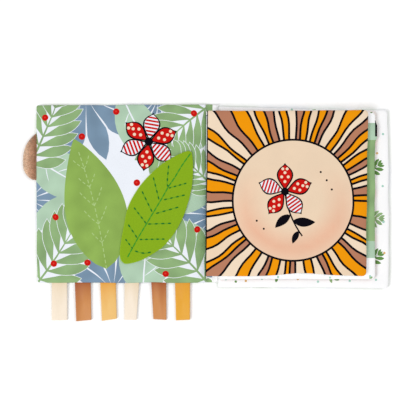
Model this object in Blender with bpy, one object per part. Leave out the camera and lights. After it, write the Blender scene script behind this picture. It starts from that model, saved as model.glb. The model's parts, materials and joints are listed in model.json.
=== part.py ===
"""Soft crinkle cloth book for a baby, lying open at its first spread.

Two padded covers are joined by a cloth spine. One padded inner spread is sewn into the gutter
and folded over, so that its two leaves lie on the back cover. Each cover and leaf is a bag of
two printed cloths, sewn round the edge and turned, with wadding and a sheet of crinkle film
inside. Six satin ribbon loops and a plush ear are caught in the front cover's seams, and a felt
leaf lifts from its page.

Lengths are in metres. X runs across the spread, Y up the page and Z up from the table. The
origin lies under the middle of the spine. All pages turn about one line, the gutter axis.
"""
import math

import bmesh
import bpy
from mathutils import Matrix, Vector

half = 0.5

# Cloth, filling and the clearance that touching pieces keep
cloth_thickness = 0.0005
film_thickness = 0.0002
clearance = 0.0003

# Padded edge: how far in from the seam a face swells to its full height
draw_in = 0.008
roll_shares = ((0.0, 0.0), (0.02, 0.32), (0.12, 0.62), (0.42, 0.88), (1.0, 1.0))
wadding_shares = ((1.0, -1.0), (0.55, -0.62), (0.4, 0.0), (0.55, 0.62), (1.0, 1.0))
arc_steps = 3
side_steps = 4
side_count = 4

# Covers
cover_thickness = 0.005
cover_corner_radius = 0.003
gutter_half_width = 0.006
front_cover_width = 0.1702
front_cover_height = 0.1782
back_cover_width = 0.1708
back_cover_near_top = 0.0873
back_cover_far_top = 0.0836
back_cover_near_bottom = 0.0944
back_cover_far_bottom = 0.0955
cover_side_bow = 0.0006

# Leaves of the inner spread
leaf_thickness = 0.0042
leaf_corner_radius = 0.0045
gutter_corner_radius = 0.0012
lower_leaf_near = 0.0075
lower_leaf_width = 0.1558
lower_leaf_top = 0.0813
lower_leaf_bottom = 0.0862
upper_leaf_overhang = 0.0048
upper_leaf_bottom_lean = 0.0019
upper_leaf_width = 0.1609
upper_leaf_near_top = 0.0826
upper_leaf_far_top = 0.0833
upper_leaf_bottom = 0.0828
upper_leaf_bottom_bow = 0.0024
leaf_side_bow = 0.0005

# Spine: a strip between the covers' edges, flat in the middle and raised to their seams
spine_rise = 0.0019
spine_lining_lift = 0.00036
spine_across_shares = (-1.0, -0.8, -0.6, -0.45, 0.45, 0.6, 0.8, 1.0)
spine_rise_shares = (1.0, 0.42, 0.12, 0.0, 0.0, 0.12, 0.42, 1.0)
spine_length_steps = 6

# Satin ribbon loops in the front cover's bottom seam
ribbon_width = 0.0162
ribbon_length = 0.0374
ribbon_thickness = 0.0004
ribbon_end_height = 0.0013
ribbon_open_height = 0.0009
ribbon_steps = 7
ribbon_fold_steps = 4
ribbon_place_shares = (0.1395, 0.2767, 0.4268, 0.5632, 0.7218, 0.8640)
ribbon_slant_shares = (0.02, 0.08, 0.09, -0.04, 0.1, 0.02)
ribbon_length_shares = (1.0, 1.02, 0.99, 0.985, 0.98, 1.0)
ribbon_colours = ("F6E9D3", "C88455", "EDB65C", "F8ECD6", "CB8550", "EBAC42")

# Plush ear in the front cover's free edge
ear_length = 0.047
ear_reach = 0.0127
ear_place_share = 0.7045
ear_top_height = 0.0064
ear_underside_height = 0.0004
ear_plush_thickness = 0.0008
ear_roll_shares = ((0.0, 0.0), (0.05, 0.45), (0.18, 0.8), (0.45, 1.0))
ear_stuffing_shares = ((0.5, -1.0), (0.28, -0.55), (0.2, 0.0), (0.28, 0.55), (0.5, 1.0))
ear_outline_shares = (0.0, 0.17, 0.36, 0.6, 0.81, 0.94, 0.985, 1.0, 0.96, 0.81, 0.56, 0.28, 0.0)

# Felt leaf that lifts from the front cover's inner page, sewn down at its round end
felt_thickness = 0.0015
felt_length = 0.13
felt_left_width = 0.0236
felt_right_width = 0.0313
felt_base_across_share = 0.4877
felt_base_up_share = 0.128
felt_direction_degrees = 56.2
felt_edge_round = 0.0004
felt_left_shares = (0.29, 0.53, 0.76, 0.93, 0.99, 0.97, 0.86, 0.71, 0.46)
felt_right_shares = (0.62, 0.83, 0.96, 1.0, 0.97, 0.89, 0.77, 0.59, 0.35)
felt_base_shares = ((0.045, 0.08), (0.019, 0.01), (0.004, -0.08), (0.0, -0.17), (0.013, -0.32), (0.05, -0.46))
felt_tip_shares = ((0.973, -0.12), (0.993, -0.05), (1.0, 0.03), (0.973, 0.17))

# Heights of the stack, each piece resting on the one below it
lower_leaf_base = cover_thickness + clearance
upper_leaf_base = lower_leaf_base + leaf_thickness + clearance
felt_base = cover_thickness + clearance
felt_top = felt_base + felt_thickness
upper_leaf_top_face = upper_leaf_base + leaf_thickness
gutter_axis_height = (upper_leaf_top_face + felt_top + clearance) * half
cover_radii = (cover_corner_radius,) * side_count
leaf_radii = (gutter_corner_radius, leaf_corner_radius, leaf_corner_radius, gutter_corner_radius)
smooth_angle = math.radians(40)


class Panel:
    """A padded page: its four corners seen from above, and its place in the stack."""

    def __init__(self, corners, bows, corner_radii, base, thickness):
        self.corners = [Vector(corner) for corner in corners]
        self.bows = bows
        self.corner_radii = corner_radii
        self.base = base
        self.thickness = thickness
        self.middle = base + thickness * half


def clear_scene():
    """Remove every object, so that the book stands alone."""
    for thing in list(bpy.data.objects):
        bpy.data.objects.remove(thing, do_unlink=True)


def linear(channel):
    """Turn one sRGB channel into the linear value that a shader needs."""
    if channel <= 0.04045:
        return channel / 12.92
    return ((channel + 0.055) / 1.055) ** 2.4


def material(name, hex_colour, roughness):
    """A plain cloth or plastic finish in one colour."""
    finish = bpy.data.materials.get(name)
    if finish:
        return finish
    finish = bpy.data.materials.new(name)
    finish.use_nodes = True
    channels = [int(hex_colour[at:at + 2], 16) / 255 for at in (0, 2, 4)]
    colour = [linear(channel) for channel in channels] + [1.0]
    shader = finish.node_tree.nodes["Principled BSDF"]
    shader.inputs["Base Color"].default_value = colour
    shader.inputs["Roughness"].default_value = roughness
    shader.inputs["Metallic"].default_value = 0.0
    finish.diffuse_color = colour
    return finish


def add_body(name, joint_place):
    """An empty at the joint that carries all of one moving body's pieces."""
    carrier = bpy.data.objects.new(name, None)
    carrier.location = joint_place
    bpy.context.collection.objects.link(carrier)
    return carrier


def add_piece(name, shape, carrier, finish):
    """Turn a finished bmesh, built in place, into an object with its origin on the joint."""
    bmesh.ops.recalc_face_normals(shape, faces=shape.faces)
    bmesh.ops.translate(shape, verts=shape.verts, vec=-carrier.location)
    mesh = bpy.data.meshes.new(name)
    shape.to_mesh(mesh)
    shape.free()
    mesh.shade_smooth()
    mesh.set_sharp_from_angle(angle=smooth_angle)
    mesh.materials.append(finish)
    piece = bpy.data.objects.new(name, mesh)
    piece.parent = carrier
    bpy.context.collection.objects.link(piece)
    return piece


def loft(rings):
    """Join closed rings of equal counts in order, and close the first and the last with a face."""
    shape = bmesh.new()
    loops = [[shape.verts.new(point) for point in ring] for ring in rings]
    for lower, upper in zip(loops, loops[1:]):
        for at in range(len(lower)):
            shape.faces.new((lower[at - 1], lower[at], upper[at], upper[at - 1]))
    shape.faces.new(loops[0])
    shape.faces.new(loops[-1])
    return shape


def page_corner(corners, index, inset):
    """A page's corner, and the directions along its two sides, drawn in by the inset."""
    corner = corners[index]
    back = (corners[index - 1] - corner).normalized()
    ahead = (corners[(index + 1) % side_count] - corner).normalized()
    sine = abs(back.cross(ahead))
    return corner + (back + ahead) * (inset / sine), back, ahead


def page_outline(panel, inset, height):
    """Points round a page at one height: round corners, and sides that pull in between them."""
    arcs = []
    for index in range(side_count):
        radius = panel.corner_radii[index] + inset
        corner, back, ahead = page_corner(panel.corners, index, inset)
        opening = back.angle(ahead)
        centre = corner + (back + ahead) * (radius / math.sin(opening))
        start = corner + back * (radius / math.tan(opening * half)) - centre
        turn = math.pi - opening
        turns = [Matrix.Rotation(turn * step / arc_steps, 2) for step in range(arc_steps + 1)]
        arcs.append([centre + rotation @ start for rotation in turns])
    points = []
    for index in range(side_count):
        points += arcs[index]
        start = arcs[index][-1]
        run = arcs[(index + 1) % side_count][0] - start
        inward = Vector((-run.y, run.x)).normalized()
        for step in range(1, side_steps):
            along = step / side_steps
            bow = panel.bows[index] * math.sin(along * math.pi)
            points.append(start + run * along + inward * bow)
    return [point.to_3d() + Vector((0, 0, height)) for point in points]


def face_cloth(panel, side):
    """One cloth of a padded page, a shallow dish: side 1 is the upper face, side -1 the lower."""
    seam = clearance * half
    swell = panel.thickness * half - seam
    rings = []
    for inset_share, height_share in reversed(roll_shares):
        rings.append((inset_share * draw_in, seam + height_share * swell))
    inner_run = draw_in - cloth_thickness
    inner_swell = swell - cloth_thickness
    for inset_share, height_share in roll_shares:
        inset = cloth_thickness + inset_share * inner_run
        rings.append((inset, seam + height_share * inner_swell))
    middle = panel.middle
    return loft([page_outline(panel, inset, middle + side * height) for inset, height in rings])


def film_sheet(panel):
    """The crinkle film, a thin sheet that lies on the lower cloth inside the page."""
    bottom = panel.base + cloth_thickness + clearance
    inset = draw_in + clearance
    heights = (bottom, bottom + film_thickness)
    return loft([page_outline(panel, inset, height) for height in heights])


def wadding(panel):
    """The soft filling between the film and the upper cloth, thinner towards the seam."""
    lower = cloth_thickness + clearance + film_thickness + clearance
    upper = cloth_thickness + clearance
    depth = panel.thickness * half
    rings = []
    for inset_share, height_share in wadding_shares:
        margin = upper if height_share > 0 else lower
        height = panel.middle + height_share * (depth - margin)
        rings.append(page_outline(panel, inset_share * (draw_in + clearance), height))
    return loft(rings)


def add_page(name, panel, carrier, lower_name, upper_name, lower_finish, upper_finish):
    """A padded page: two cloths, the wadding and the crinkle film."""
    fill = material("wadding_white", "F4F2EC", 0.95)
    film = material("crinkle_film_clear", "E8EBEE", 0.3)
    add_piece(f"{name}_{lower_name}_cloth", face_cloth(panel, -1), carrier, lower_finish)
    add_piece(f"{name}_{upper_name}_cloth", face_cloth(panel, 1), carrier, upper_finish)
    add_piece(f"{name}_wadding", wadding(panel), carrier, fill)
    add_piece(f"{name}_crinkle_film", film_sheet(panel), carrier, film)


def spine_strip(lift):
    """A cloth strip along the spine, a shallow trough across and straight along the book."""
    half_width = gutter_half_width - clearance
    length = front_cover_height
    shape = bmesh.new()
    row = []
    for across, rise in zip(spine_across_shares, spine_rise_shares):
        place = (across * half_width, -length * half, rise * spine_rise + lift)
        row.append(shape.verts.new(place))
    edges = [shape.edges.new(pair) for pair in zip(row, row[1:])]
    for step in range(spine_length_steps):
        grown = bmesh.ops.extrude_edge_only(shape, edges=edges)["geom"]
        verts = [item for item in grown if isinstance(item, bmesh.types.BMVert)]
        edges = [item for item in grown if isinstance(item, bmesh.types.BMEdge)]
        bmesh.ops.translate(shape, verts=verts, vec=(0, length / spine_length_steps, 0))
    skin = bmesh.ops.extrude_face_region(shape, geom=shape.faces[:])["geom"]
    verts = [item for item in skin if isinstance(item, bmesh.types.BMVert)]
    bmesh.ops.translate(shape, verts=verts, vec=(0, 0, cloth_thickness))
    return shape


def ribbon_line(side, length):
    """Points (out, up) along one layer of a loop, from the seam to its folded end."""
    seam_height = cover_thickness * half
    strand = (ribbon_thickness + clearance) * half
    points = []
    for step in range(ribbon_steps):
        along = step / ribbon_steps
        middle = seam_height + (ribbon_end_height - seam_height) * math.sin(along * math.pi * half)
        apart = strand + (ribbon_open_height - strand) * math.sin(along * math.pi * half)
        points.append((along * (length - ribbon_open_height), middle + side * apart))
    return points


def ribbon_loop(place_share, slant_share, length_share):
    """A short length of satin ribbon folded in two, its ends caught in the bottom seam."""
    length = ribbon_length * length_share
    fold = []
    for step in range(ribbon_fold_steps + 1):
        angle = math.pi * (half - step / ribbon_fold_steps)
        out = length - ribbon_open_height + ribbon_open_height * math.cos(angle)
        fold.append((out, ribbon_end_height + ribbon_open_height * math.sin(angle)))
    line = ribbon_line(1, length) + fold + ribbon_line(-1, length)[::-1]
    edge = -front_cover_height * half - clearance
    left = -gutter_half_width - front_cover_width
    middle = left + place_share * front_cover_width
    outer = []
    inner = []
    for at, (out, up) in enumerate(line):
        before = Vector(line[max(at - 1, 0)])
        after = Vector(line[min(at + 1, len(line) - 1)])
        run = (after - before).normalized()
        away = Vector((-run.y, run.x)) * ribbon_thickness * half
        outer.append((out + away.x, up + away.y))
        inner.append((out - away.x, up - away.y))
    shape = bmesh.new()
    ring = []
    for out, up in outer + inner[::-1]:
        shift = slant_share * out
        ring.append(shape.verts.new((middle - ribbon_width * half + shift, edge - out, up)))
    face = shape.faces.new(ring)
    grown = bmesh.ops.extrude_face_region(shape, geom=[face])["geom"]
    verts = [item for item in grown if isinstance(item, bmesh.types.BMVert)]
    bmesh.ops.translate(shape, verts=verts, vec=(ribbon_width, 0, 0))
    bmesh.ops.triangulate(shape, faces=[item for item in shape.faces if len(item.verts) > 4])
    return shape


def ear_outline(inset, height):
    """The ear seen from above: straight along the cover's edge, and fullest below its middle."""
    bottom = -front_cover_height * half
    centre_y = bottom + ear_place_share * front_cover_height
    root_x = -gutter_half_width - front_cover_width - clearance - inset * half
    reach = ear_reach - clearance - inset - inset * half
    half_length = ear_length * half - inset
    points = []
    for step, share in enumerate(ear_outline_shares):
        angle = math.pi * step / (len(ear_outline_shares) - 1)
        points.append(Vector((root_x - reach * share, centre_y + half_length * math.cos(angle), height)))
    return points


def ear_plush(side):
    """One plush side of the ear, a shallow dome open towards the stuffing."""
    seam_height = cover_thickness * half
    seam = clearance * half
    top = ear_top_height - seam_height if side > 0 else seam_height - ear_underside_height
    rings = []
    for inset_share, height_share in reversed(ear_roll_shares):
        rings.append((inset_share * ear_reach, seam + height_share * (top - seam)))
    inner_top = top - ear_plush_thickness
    for inset_share, height_share in ear_roll_shares:
        inset = ear_plush_thickness + inset_share * (ear_reach - ear_plush_thickness)
        rings.append((inset, seam + height_share * (inner_top - seam)))
    return loft([ear_outline(inset, seam_height + side * height) for inset, height in rings])


def ear_stuffing():
    """The ear's filling, a soft lens between the two plush sides."""
    seam_height = cover_thickness * half
    margin = ear_plush_thickness + clearance
    rings = []
    for inset_share, height_share in ear_stuffing_shares:
        reach = ear_top_height - seam_height if height_share > 0 else seam_height - ear_underside_height
        height = seam_height + height_share * (reach - margin)
        rings.append(ear_outline(inset_share * ear_reach + margin * half, height))
    return loft(rings)


def felt_hinge_place():
    """The felt leaf's sewn end on the page, at half the felt's height."""
    left = -gutter_half_width - front_cover_width
    bottom = -front_cover_height * half
    across = left + felt_base_across_share * front_cover_width
    up = bottom + felt_base_up_share * front_cover_height
    return Vector((across, up, felt_base + felt_thickness * half))


def felt_leaf():
    """A leaf cut from thick felt, wider on its right side, round at the sewn end."""
    stations = len(felt_left_shares) + 1
    outline = [(along * felt_length, across * felt_right_width) for along, across in felt_base_shares]
    for at, width in enumerate(felt_right_shares):
        outline.append(((at + 1) / stations * felt_length, -width * felt_right_width))
    outline += [(along * felt_length, across * felt_right_width) for along, across in felt_tip_shares]
    for at, width in reversed(list(enumerate(felt_left_shares))):
        outline.append(((at + 1) / stations * felt_length, width * felt_left_width))
    hinge = felt_hinge_place()
    turn = Matrix.Rotation(math.radians(felt_direction_degrees), 4, "Z")
    shape = bmesh.new()
    ring = []
    for along, across in outline:
        place = hinge + turn @ Vector((along, across, -felt_thickness * half))
        ring.append(shape.verts.new(place))
    face = shape.faces.new(ring)
    grown = bmesh.ops.extrude_face_region(shape, geom=[face])["geom"]
    verts = [item for item in grown if isinstance(item, bmesh.types.BMVert)]
    bmesh.ops.translate(shape, verts=verts, vec=(0, 0, felt_thickness))
    rims = [edge for edge in shape.edges if abs(edge.verts[0].co.z - edge.verts[1].co.z) < felt_edge_round]
    bmesh.ops.bevel(shape, geom=rims, offset=felt_edge_round, segments=1, profile=half,
                    affect="EDGES", material=-1)
    return shape


def front_cover_panel():
    """The front cover, a nearly square page left of the gutter."""
    left = -gutter_half_width - front_cover_width
    right = -gutter_half_width
    top = front_cover_height * half
    corners = ((left, -top), (right, -top), (right, top), (left, top))
    bows = (0, 0, cover_side_bow, 0)
    return Panel(corners, bows, cover_radii, 0, cover_thickness)


def back_cover_panel():
    """The back cover, whose top edge falls away from the gutter."""
    near = gutter_half_width
    far = near + back_cover_width
    corners = ((near, -back_cover_near_bottom), (far, -back_cover_far_bottom),
               (far, back_cover_far_top), (near, back_cover_near_top))
    bows = (cover_side_bow, cover_side_bow, cover_side_bow, 0)
    return Panel(corners, bows, cover_radii, 0, cover_thickness)


def lower_leaf_panel():
    """The lower leaf, straight along the gutter."""
    near = lower_leaf_near
    far = near + lower_leaf_width
    corners = ((near, -lower_leaf_bottom), (far, -lower_leaf_bottom),
               (far, lower_leaf_top), (near, lower_leaf_top))
    bows = (leaf_side_bow, leaf_side_bow, leaf_side_bow, 0)
    return Panel(corners, bows, leaf_radii, lower_leaf_base, leaf_thickness)


def upper_leaf_panel():
    """The upper leaf, which leans a little towards the gutter at its bottom."""
    near = -upper_leaf_overhang
    far = near + upper_leaf_width
    lean = upper_leaf_bottom_lean
    corners = ((near - lean, -upper_leaf_bottom), (far - lean, -upper_leaf_bottom),
               (far, upper_leaf_far_top), (near, upper_leaf_near_top))
    bows = (upper_leaf_bottom_bow, leaf_side_bow, leaf_side_bow, 0)
    return Panel(corners, bows, leaf_radii, upper_leaf_base, leaf_thickness)


def build_book():
    """Put the book together, from the back cover up."""
    gutter = Vector((0, 0, gutter_axis_height))
    back_cover = add_body("back_cover", Vector((0, 0, 0)))
    lower_leaf = add_body("lower_leaf", gutter)
    upper_leaf = add_body("upper_leaf", gutter)
    front_cover = add_body("front_cover", gutter)
    felt = add_body("felt_leaf", felt_hinge_place())

    jungle = material("jungle_print_cotton", "9DBB9A", 0.85)
    white = material("white_print_cotton", "F3F4F6", 0.85)
    sun = material("sunburst_print_cotton", "EBCFAF", 0.85)
    plush = material("beige_plush", "C9A386", 0.95)
    fill = material("wadding_white", "F4F2EC", 0.95)

    add_page("back_cover", back_cover_panel(), back_cover, "outer", "inner", jungle, white)
    add_page("lower_leaf", lower_leaf_panel(), lower_leaf, "lower", "upper", white, white)
    add_page("upper_leaf", upper_leaf_panel(), upper_leaf, "lower", "upper", white, sun)
    add_page("front_cover", front_cover_panel(), front_cover, "outer", "inner", jungle, jungle)

    add_piece("spine_outer_cloth", spine_strip(0), back_cover, jungle)
    lining_lift = cloth_thickness + spine_lining_lift
    add_piece("spine_lining_cloth", spine_strip(lining_lift), back_cover, white)

    shares = zip(ribbon_place_shares, ribbon_slant_shares, ribbon_length_shares)
    for number, (colour, loop_shares) in enumerate(zip(ribbon_colours, shares), 1):
        satin = material(f"satin_{colour}", colour, 0.35)
        add_piece(f"ribbon_loop_{number}", ribbon_loop(*loop_shares), front_cover, satin)

    add_piece("ear_front_plush", ear_plush(1), front_cover, plush)
    add_piece("ear_back_plush", ear_plush(-1), front_cover, plush)
    add_piece("ear_stuffing", ear_stuffing(), front_cover, fill)

    add_piece("felt_leaf_flap", felt_leaf(), felt, material("green_felt", "84AA21", 0.95))


clear_scene()
build_book()
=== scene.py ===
"""Crinkle cloth book, lying open at its first spread and seen from straight above.

Each cover and leaf is a bag of two printed cottons that a cloth simulation stuffs. Ribbons, ear,
felt leaf and stitches follow, in the order in which the book is sewn. Flat layouts are worked
out in millimetres and turned into metres when a mesh is made.
"""
import json
import math
import random

import bmesh
import bpy
import numpy as np
from mathutils import Matrix, Vector, geometry, noise

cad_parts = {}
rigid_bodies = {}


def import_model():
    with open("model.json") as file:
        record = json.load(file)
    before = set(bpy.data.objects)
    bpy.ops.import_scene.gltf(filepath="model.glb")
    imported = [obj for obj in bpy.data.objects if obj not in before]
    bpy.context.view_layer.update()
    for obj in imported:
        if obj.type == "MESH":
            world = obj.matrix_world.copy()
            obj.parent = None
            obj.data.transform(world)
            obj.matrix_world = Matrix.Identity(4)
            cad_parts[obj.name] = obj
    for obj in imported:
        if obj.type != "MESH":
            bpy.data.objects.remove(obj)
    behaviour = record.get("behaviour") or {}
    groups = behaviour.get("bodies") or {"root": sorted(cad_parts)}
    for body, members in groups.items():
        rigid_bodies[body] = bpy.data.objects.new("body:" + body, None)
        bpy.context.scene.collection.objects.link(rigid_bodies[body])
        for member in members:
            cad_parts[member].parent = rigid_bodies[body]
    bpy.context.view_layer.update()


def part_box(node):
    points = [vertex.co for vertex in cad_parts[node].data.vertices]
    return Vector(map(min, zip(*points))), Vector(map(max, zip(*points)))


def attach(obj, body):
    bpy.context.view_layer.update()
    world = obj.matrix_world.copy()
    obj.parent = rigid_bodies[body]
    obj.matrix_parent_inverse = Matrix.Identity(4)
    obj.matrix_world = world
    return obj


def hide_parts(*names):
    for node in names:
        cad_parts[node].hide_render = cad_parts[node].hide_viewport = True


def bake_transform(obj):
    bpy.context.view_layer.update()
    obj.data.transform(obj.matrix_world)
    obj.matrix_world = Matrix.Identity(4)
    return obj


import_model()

# Table, light and camera
# A white table top under soft, nearly even studio light. The camera looks straight down through
# a long lens, and one pixel of its 416 pixel picture is one millimetre on the book.
MM = 0.001
PICTURE_SIDE = 416 * MM
LENS, SENSOR = 200, 36
VIEW_CENTRE = Vector((-4.0, -14.7, 7.0)) * MM
TABLE_SIZE, TABLE_GAP = 12.0, 0.1 * MM
LIGHT_HEIGHT = 2.1


def linear_colour(hex_text):
    """An sRGB hex colour as linear red, green, blue and alpha."""
    channels = [int(hex_text[at:at + 2], 16) / 255 for at in (0, 2, 4)]
    lines = [c / 12.92 if c <= 0.04045 else ((c + 0.055) / 1.055) ** 2.4 for c in channels]
    return (*lines, 1.0)


def set_inputs(tree, node, inputs):
    """Set a node's inputs. Each is a plain value, an output, or a node, which gives its first output."""
    for name, value in inputs.items():
        if isinstance(value, bpy.types.Node):
            value = value.outputs[0]
        if isinstance(value, bpy.types.NodeSocket):
            tree.links.new(value, node.inputs[name])
        else:
            node.inputs[name].default_value = value


def add_node(tree, kind, inputs=None, **settings):
    """Add a shader node with its settings and its inputs."""
    node = tree.nodes.new("ShaderNode" + kind)
    for name, value in settings.items():
        setattr(node, name, value)
    set_inputs(tree, node, inputs or {})
    return node


def new_finish(name):
    """A fresh material, its node tree, its shader, and the place on the object for its patterns."""
    finish = bpy.data.materials.new(name)
    finish.use_nodes = True
    tree = finish.node_tree
    return finish, tree, tree.nodes["Principled BSDF"], add_node(tree, "TexCoord").outputs["Object"]


def place_object(name, data):
    """Link new data to the scene as an object at the origin."""
    thing = bpy.data.objects.new(name, data)
    bpy.context.collection.objects.link(thing)
    return thing


def new_piece(name, shape, finish=None, smooth=True):
    """An object at the origin from a bmesh, which is used up."""
    mesh = bpy.data.meshes.new(name)
    shape.to_mesh(mesh)
    shape.free()
    if smooth:
        mesh.shade_smooth()
    if finish:
        mesh.materials.append(finish)
    return place_object(name, mesh)


camera = bpy.data.cameras.new("studio_camera")
camera.lens = LENS
camera.sensor_width = SENSOR
camera.clip_end = 50
camera_object = place_object("studio_camera", camera)
camera_object.location = VIEW_CENTRE + Vector((0, 0, PICTURE_SIDE * LENS / SENSOR))
bpy.context.scene.camera = camera_object

# The paper glows a little for the camera, and in gloss, so that it reads as white.
table_paper, tree, _, _ = new_finish("white_seamless_paper")
tree.nodes.clear()
paper = add_node(tree, "BsdfDiffuse", {"Color": linear_colour("F6F6F6")})
glow = add_node(tree, "Emission", {"Color": (1, 1, 1, 1), "Strength": 0.115})
both = add_node(tree, "AddShader", {0: paper, 1: glow})
ray = add_node(tree, "LightPath").outputs
mirrored = add_node(tree, "Math", {0: ray["Is Glossy Ray"], 1: ray["Is Transmission Ray"]})
seen = add_node(tree, "Math", {0: ray["Is Camera Ray"], 1: mirrored}, operation="MAXIMUM")
mixed = add_node(tree, "MixShader", {0: seen, 1: paper, 2: both})
add_node(tree, "OutputMaterial", {"Surface": mixed})

table_shape = bmesh.new()
under_book = Matrix.Translation((0, 0, -TABLE_GAP))
bmesh.ops.create_grid(table_shape, x_segments=1, y_segments=1, size=TABLE_SIZE / 2, matrix=under_book)
new_piece("table_top", table_shape, table_paper)

world = bpy.data.worlds.new("white_studio")
world.use_nodes = True
set_inputs(world.node_tree, world.node_tree.nodes["Background"], {"Color": (1, 1, 1, 1), "Strength": 0.54})
bpy.context.scene.world = world
bpy.context.scene.view_settings.view_transform = "Standard"

for name, place, size, energy in (
    ("window_light", (-1.6, -1.0, LIGHT_HEIGHT), 1.3, 39.0),
    ("fill_light", (1.5, 0.5, LIGHT_HEIGHT), 1.6, 16.5),
):
    lamp = bpy.data.lights.new(name, "AREA")
    lamp.size = size
    lamp.energy = energy
    lamp_object = place_object(name, lamp)
    lamp_object.location = place
    lamp_object.rotation_euler = (-Vector(place)).to_track_quat("-Z", "Y").to_euler()

# The four padded pages
# Front cover, back cover and the two leaves of the inner spread. Each is two cottons sewn round
# the edge and turned, stuffed with wadding, so the seam is thin and the face swells from it.
DRAW_IN = 8.0
ROLL = 2.4
SEAM = 0.15
COTTON = 0.35
OUTLINE_STEP = 3.0
CORNER_STEPS = 6
RIPPLE = 0.22
SEAM_CLEARANCE = 1.0


def inside(outline, points):
    """Which points lie inside a closed outline."""
    odd = np.zeros(len(points), bool)
    for (x0, y0), (x1, y1) in zip(outline, np.roll(outline, -1, axis=0)):
        if y0 != y1:
            crosses = (y0 > points[:, 1]) != (y1 > points[:, 1])
            odd ^= crosses & (points[:, 0] < x0 + (points[:, 1] - y0) * (x1 - x0) / (y1 - y0))
    return odd


class Page:
    """A padded page, in millimetres: its corners from above, and its place in the stack.

    Trims move the corners, bows curve the sides inwards, and bumps are dents along a side."""

    def __init__(self, body, lower, upper, radii, seed, trims=((0, 0),) * 4, bows=(0, 0, 0, 0), bumps=None):
        self.body, self.lower, self.upper = body, f"{body}_{lower}_cloth", f"{body}_{upper}_cloth"
        low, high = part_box(self.lower)[0] / MM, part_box(self.upper)[1] / MM
        self.thickness = high.z - low.z
        self.middle = low.z + self.thickness / 2
        self.radii, self.seed, self.bows, self.bumps = radii, seed, bows, bumps or {}
        box_corners = ((low.x, low.y), (high.x, low.y), (high.x, high.y), (low.x, high.y))
        self.corners = [Vector(corner) + Vector(trim) for corner, trim in zip(box_corners, trims)]
        self.relief = {}
        self.edge = np.array(self.outline(0))

    def outline(self, inset):
        """Points round the page, drawn in from the seam: round corners and faintly wavy sides."""
        rng = random.Random(self.seed)
        arcs = []
        for at, corner in enumerate(self.corners):
            radius = self.radii[at] + inset * 0.6
            back = (self.corners[at - 1] - corner).normalized()
            ahead = (self.corners[(at + 1) % 4] - corner).normalized()
            opening = back.angle(ahead)
            inner = corner + (back + ahead) * (inset / math.sin(opening))
            centre = inner + (back + ahead) * (radius / math.sin(opening))
            start = inner + back * (radius / math.tan(opening / 2)) - centre
            turn = (math.pi - opening) / CORNER_STEPS
            rotations = [Matrix.Rotation(turn * step, 2) for step in range(CORNER_STEPS + 1)]
            arcs.append([centre + rotation @ start for rotation in rotations])
        points = []
        for at, arc in enumerate(arcs):
            waves = [(rng.uniform(0.3, 1.0), rng.uniform(0, math.tau)) for _ in range(3)]
            points += arc
            run = arcs[(at + 1) % 4][0] - arc[-1]
            inward = run.orthogonal().normalized()
            steps = int(run.length / OUTLINE_STEP)
            for step in range(1, steps):
                along = step / steps
                wave = sum(size * math.sin(math.tau * (k + 2) * along + phase)
                           for k, (size, phase) in enumerate(waves))
                bow = self.bows[at] * 4 * along * (1 - along)
                bump = np.interp(along, *self.bumps[at]) if at in self.bumps else 0
                ripple = RIPPLE * wave * math.sin(math.pi * along)
                points.append(arc[-1] + run * along + inward * float(bow + bump + ripple))
        return [tuple(point) for point in points]

    def depth(self, points):
        """How far in from the seam each point lies."""
        ends = np.roll(self.edge, -1, axis=0)
        run = ends - self.edge
        span = (run ** 2).sum(1)
        nearest = np.full(len(points), 1e9)
        for start, way, square in zip(self.edge, run, span):
            along = np.clip(((points - start) @ way) / square, 0, 1)
            gap = points - start - along[:, None] * way
            nearest = np.minimum(nearest, np.hypot(gap[:, 0], gap[:, 1]))
        return nearest

    def holds(self, points):
        """Which points lie on the page's flat face, clear of its seam."""
        return inside(self.edge, points) & (self.depth(points) > EDGE_INSETS[-1] + SEAM_CLEARANCE)

    def swell(self, points):
        """Height of a face above the seam's middle, before the stuffing moves it."""
        share = np.clip(self.depth(points) / DRAW_IN, 0, 1)
        rise = (1 - (1 - share) ** ROLL) ** (1 / ROLL)
        return SEAM + (self.thickness / 2 - SEAM) * rise

    def spread(self, shares):
        """Page shares across and up, as millimetres in the book's frame."""
        across, up = shares[:, 0:1], shares[:, 1:2]
        c = [np.array(corner)[None] for corner in self.corners]
        return (1 - up) * ((1 - across) * c[0] + across * c[1]) + up * ((1 - across) * c[3] + across * c[2])

    def shares(self, points):
        """The way back from millimetres to page shares, near enough for a nearly square page."""
        low, high = np.min(self.corners, axis=0), np.max(self.corners, axis=0)
        return np.clip((points - low) / (high - low), 0, 1)


front_cover = Page("front_cover", "outer", "inner", (3, 2, 2, 2), 1,
                   ((1.3, -0.5), (0, -0.5), (0, 0), (0.4, -0.9)), (0, 0, 0, -0.6))
back_cover = Page("back_cover", "outer", "inner", (2, 4, 4, 2), 2,
                  ((0, 1.1), (0, 0), (-0.9, -3.7), (0, 0)), (0.6, -0.8, 0.6, 0))
lower_leaf = Page("lower_leaf", "lower", "upper", (1.2, 4.5, 4.5, 1.2), 3, bows=(0.5, 0.5, 0.5, 0),
                  bumps={1: ((0, 0.84, 0.865, 0.945, 0.975, 1), (0, 0, -2.0, -2.1, 0, 0))})
upper_leaf = Page("upper_leaf", "lower", "upper", (1.2, 4.5, 4.5, 1.2), 4,
                  ((0, 0), (-1.9, 0), (0, 0), (1.9, -0.7)), (0, 0.5, 0.5, 0),
                  {0: ((0, 0.3, 0.43, 0.57, 0.62, 0.8, 1), (0, 0, 0.9, 3.2, 3.1, 1.5, 0))})
PAGES = (front_cover, back_cover, lower_leaf, upper_leaf)

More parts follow.
